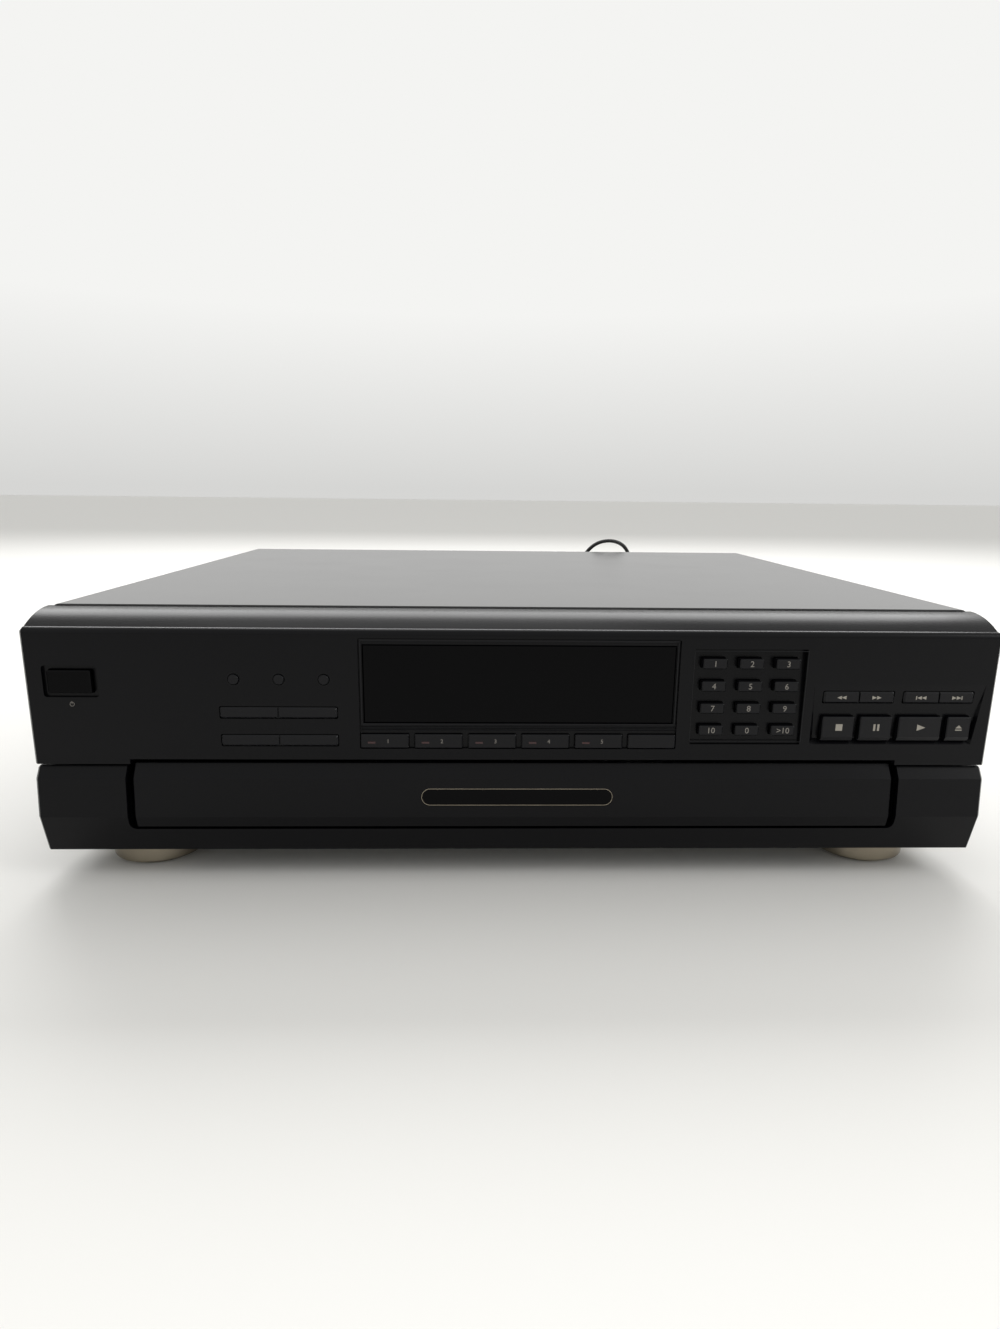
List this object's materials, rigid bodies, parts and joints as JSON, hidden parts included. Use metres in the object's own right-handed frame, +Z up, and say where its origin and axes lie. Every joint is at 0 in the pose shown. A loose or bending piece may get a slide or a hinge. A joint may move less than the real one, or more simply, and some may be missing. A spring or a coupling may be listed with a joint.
{
  "type": "multi disc cd changer",
  "caption": "Front loading changer for compact discs: a low black case with a wide drawer that carries a turning disc tray, a dark display window, rows of keys, and a mains lead.",
  "frame": {"origin": "on the floor below the middle of the case, half way from its front edge to the tips of its rear jacks", "axes": "+Z up, -Y the front with the drawer and keys, +X to the right seen from the front"},
  "size_m": [0.43, 0.4358, 0.1338],
  "materials": {
    "case_metal": "satin",
    "fascia_plastic": "satin moulded",
    "key_plastic": "satin moulded",
    "window_acrylic": "smoked, polished",
    "chassis_steel": "zinc plated",
    "foot_plastic": "champagne lacquer",
    "tray_plastic": "fine texture",
    "gear_plastic": "natural acetal",
    "board_laminate": "solder resist",
    "motor_steel": "plated",
    "belt_rubber": "matte",
    "jack_metal": "nickel plated",
    "cord_rubber": "satin",
    "core_steel": "varnished laminations"
  },
  "bodies": {
    "case": {"bottom_chassis": "chassis_steel", "clamper_bridge": "chassis_steel", "cord_coil": "cord_rubber", "cord_grommet": "cord_rubber", "display_window": "window_acrylic", "feet": "foot_plastic", "front_board": "board_laminate", "loading_belt": "belt_rubber", "loading_motor": "motor_steel", "lower_fascia": "fascia_plastic", "main_board": "board_laminate", "mains_cord": "cord_rubber", "mains_plug": "cord_rubber", "mechanism_base": "tray_plastic", "rear_jacks": "jack_metal", "rear_panel": "case_metal", "top_cover": "case_metal", "transformer": "core_steel", "upper_fascia": "fascia_plastic"},
    "tray": {"loading_tray": "tray_plastic", "tray_front": "fascia_plastic", "carousel_motor": "motor_steel"},
    "carousel": {"carousel": "tray_plastic", "carousel_cap": "tray_plastic"},
    "carousel_pinion": {"carousel_pinion": "gear_plastic"},
    "loading_gear": {"loading_gear": "gear_plastic"},
    "traverse": {"traverse_frame": "chassis_steel"},
    "turntable": {"turntable": "tray_plastic"},
    "sled": {"pickup_sled": "tray_plastic"},
    "clamper_puck": {"clamper_puck": "gear_plastic"},
    "disc_button_1": {"disc_button_1": "key_plastic"},
    "disc_button_2": {"disc_button_2": "key_plastic"},
    "disc_button_3": {"disc_button_3": "key_plastic"},
    "disc_button_4": {"disc_button_4": "key_plastic"},
    "disc_button_5": {"disc_button_5": "key_plastic"},
    "disc_skip_button": {"disc_skip_button": "key_plastic"},
    "number_button_1": {"number_button_1": "key_plastic"},
    "number_button_2": {"number_button_2": "key_plastic"},
    "number_button_3": {"number_button_3": "key_plastic"},
    "number_button_4": {"number_button_4": "key_plastic"},
    "number_button_5": {"number_button_5": "key_plastic"},
    "number_button_6": {"number_button_6": "key_plastic"},
    "number_button_7": {"number_button_7": "key_plastic"},
    "number_button_8": {"number_button_8": "key_plastic"},
    "number_button_9": {"number_button_9": "key_plastic"},
    "number_button_10": {"number_button_10": "key_plastic"},
    "number_button_0": {"number_button_0": "key_plastic"},
    "number_button_over_10": {"number_button_over_10": "key_plastic"},
    "stop_button": {"stop_button": "key_plastic"},
    "pause_button": {"pause_button": "key_plastic"},
    "play_button": {"play_button": "key_plastic"},
    "open_close_button": {"open_close_button": "key_plastic"},
    "power_button": {"power_button": "key_plastic"},
    "spiral_button": {"spiral_button": "key_plastic"},
    "random_button": {"random_button": "key_plastic"},
    "repeat_button": {"repeat_button": "key_plastic"},
    "search_rocker": {"search_rocker": "key_plastic"},
    "skip_rocker": {"skip_rocker": "key_plastic"},
    "scan_edit_rocker": {"scan_edit_rocker": "key_plastic"},
    "time_program_rocker": {"time_program_rocker": "key_plastic"}
  },
  "joints": [
    {"name": "tray_slide", "type": "slide", "parent": "case", "child": "tray", "axis": [0, -1, 0], "range_m": [0, 0.235]},
    {"name": "carousel_spin", "type": "hinge", "parent": "tray", "child": "carousel", "pos_m": [0, -0.005, 0.044], "axis": [0, 0, 1], "continuous": true},
    {"name": "carousel_pinion_spin", "type": "hinge", "parent": "tray", "child": "carousel_pinion", "pos_m": [-0.04619, -0.02413, 0.042], "axis": [0, 0, 1], "continuous": true},
    {"name": "loading_gear_spin", "type": "hinge", "parent": "case", "child": "loading_gear", "pos_m": [-0.124, -0.118, 0.0266], "axis": [0, 0, 1], "range_deg": [-1085, 5]},
    {"name": "traverse_lift", "type": "slide", "parent": "case", "child": "traverse", "axis": [0, 0, 1], "range_m": [0, 0.0148]},
    {"name": "turntable_spin", "type": "hinge", "parent": "traverse", "child": "turntable", "pos_m": [0, 0.0988, 0.0402], "axis": [0, 0, 1], "continuous": true},
    {"name": "sled_slide", "type": "slide", "parent": "traverse", "child": "sled", "axis": [0, 1, 0], "range_m": [0, 0.0325]},
    {"name": "clamper_spin", "type": "hinge", "parent": "case", "child": "clamper_puck", "pos_m": [0, 0.0988, 0.0563], "axis": [0, 0, 1], "continuous": true},
    {"name": "disc_button_1_push", "type": "slide", "parent": "case", "child": "disc_button_1", "axis": [0, 1, 0], "range_m": [0, 0.0012], "stiffness_N_per_m": 300},
    {"name": "disc_button_2_push", "type": "slide", "parent": "case", "child": "disc_button_2", "axis": [0, 1, 0], "range_m": [0, 0.0012], "stiffness_N_per_m": 300},
    {"name": "disc_button_3_push", "type": "slide", "parent": "case", "child": "disc_button_3", "axis": [0, 1, 0], "range_m": [0, 0.0012], "stiffness_N_per_m": 300},
    {"name": "disc_button_4_push", "type": "slide", "parent": "case", "child": "disc_button_4", "axis": [0, 1, 0], "range_m": [0, 0.0012], "stiffness_N_per_m": 300},
    {"name": "disc_button_5_push", "type": "slide", "parent": "case", "child": "disc_button_5", "axis": [0, 1, 0], "range_m": [0, 0.0012], "stiffness_N_per_m": 300},
    {"name": "disc_skip_button_push", "type": "slide", "parent": "case", "child": "disc_skip_button", "axis": [0, 1, 0], "range_m": [0, 0.0012], "stiffness_N_per_m": 300},
    {"name": "number_button_1_push", "type": "slide", "parent": "case", "child": "number_button_1", "axis": [0, 1, 0], "range_m": [0, 0.0012], "stiffness_N_per_m": 300},
    {"name": "number_button_2_push", "type": "slide", "parent": "case", "child": "number_button_2", "axis": [0, 1, 0], "range_m": [0, 0.0012], "stiffness_N_per_m": 300},
    {"name": "number_button_3_push", "type": "slide", "parent": "case", "child": "number_button_3", "axis": [0, 1, 0], "range_m": [0, 0.0012], "stiffness_N_per_m": 300},
    {"name": "number_button_4_push", "type": "slide", "parent": "case", "child": "number_button_4", "axis": [0, 1, 0], "range_m": [0, 0.0012], "stiffness_N_per_m": 300},
    {"name": "number_button_5_push", "type": "slide", "parent": "case", "child": "number_button_5", "axis": [0, 1, 0], "range_m": [0, 0.0012], "stiffness_N_per_m": 300},
    {"name": "number_button_6_push", "type": "slide", "parent": "case", "child": "number_button_6", "axis": [0, 1, 0], "range_m": [0, 0.0012], "stiffness_N_per_m": 300},
    {"name": "number_button_7_push", "type": "slide", "parent": "case", "child": "number_button_7", "axis": [0, 1, 0], "range_m": [0, 0.0012], "stiffness_N_per_m": 300},
    {"name": "number_button_8_push", "type": "slide", "parent": "case", "child": "number_button_8", "axis": [0, 1, 0], "range_m": [0, 0.0012], "stiffness_N_per_m": 300},
    {"name": "number_button_9_push", "type": "slide", "parent": "case", "child": "number_button_9", "axis": [0, 1, 0], "range_m": [0, 0.0012], "stiffness_N_per_m": 300},
    {"name": "number_button_10_push", "type": "slide", "parent": "case", "child": "number_button_10", "axis": [0, 1, 0], "range_m": [0, 0.0012], "stiffness_N_per_m": 300},
    {"name": "number_button_0_push", "type": "slide", "parent": "case", "child": "number_button_0", "axis": [0, 1, 0], "range_m": [0, 0.0012], "stiffness_N_per_m": 300},
    {"name": "number_button_over_10_push", "type": "slide", "parent": "case", "child": "number_button_over_10", "axis": [0, 1, 0], "range_m": [0, 0.0012], "stiffness_N_per_m": 300},
    {"name": "stop_button_push", "type": "slide", "parent": "case", "child": "stop_button", "axis": [0, 1, 0], "range_m": [0, 0.0012], "stiffness_N_per_m": 300},
    {"name": "pause_button_push", "type": "slide", "parent": "case", "child": "pause_button", "axis": [0, 1, 0], "range_m": [0, 0.0012], "stiffness_N_per_m": 300},
    {"name": "play_button_push", "type": "slide", "parent": "case", "child": "play_button", "axis": [0, 1, 0], "range_m": [0, 0.0012], "stiffness_N_per_m": 300},
    {"name": "open_close_button_push", "type": "slide", "parent": "case", "child": "open_close_button", "axis": [0, 1, 0], "range_m": [0, 0.0012], "stiffness_N_per_m": 300},
    {"name": "power_button_push", "type": "slide", "parent": "case", "child": "power_button", "axis": [0, 1, 0], "range_m": [0, 0.002], "stiffness_N_per_m": 300},
    {"name": "spiral_button_push", "type": "slide", "parent": "case", "child": "spiral_button", "axis": [0, 1, 0], "range_m": [0, 0.0012], "stiffness_N_per_m": 300},
    {"name": "random_button_push", "type": "slide", "parent": "case", "child": "random_button", "axis": [0, 1, 0], "range_m": [0, 0.0012], "stiffness_N_per_m": 300},
    {"name": "repeat_button_push", "type": "slide", "parent": "case", "child": "repeat_button", "axis": [0, 1, 0], "range_m": [0, 0.0012], "stiffness_N_per_m": 300},
    {"name": "search_rocker_tilt", "type": "hinge", "parent": "case", "child": "search_rocker", "pos_m": [0.153, -0.1719, 0.0885], "axis": [0, 0, 1], "range_deg": [-1.8, 1.8], "stiffness_Nm_per_rad": 0.05},
    {"name": "skip_rocker_tilt", "type": "hinge", "parent": "case", "child": "skip_rocker", "pos_m": [0.1894, -0.1719, 0.0885], "axis": [0, 0, 1], "range_deg": [-1.8, 1.8], "stiffness_Nm_per_rad": 0.05},
    {"name": "scan_edit_rocker_tilt", "type": "hinge", "parent": "case", "child": "scan_edit_rocker", "pos_m": [-0.106, -0.1749, 0.0806], "axis": [0, 0, 1], "range_deg": [-1.8, 1.8], "stiffness_Nm_per_rad": 0.05},
    {"name": "time_program_rocker_tilt", "type": "hinge", "parent": "case", "child": "time_program_rocker", "pos_m": [-0.106, -0.1749, 0.0678], "axis": [0, 0, 1], "range_deg": [-1.8, 1.8], "stiffness_Nm_per_rad": 0.05}
  ],
  "couplings": [
    {"joint": "carousel_pinion_spin", "follows": "carousel_spin", "ratio": -4},
    {"joint": "loading_gear_spin", "follows": "tray_slide", "rad_per_m": -80}
  ]
}
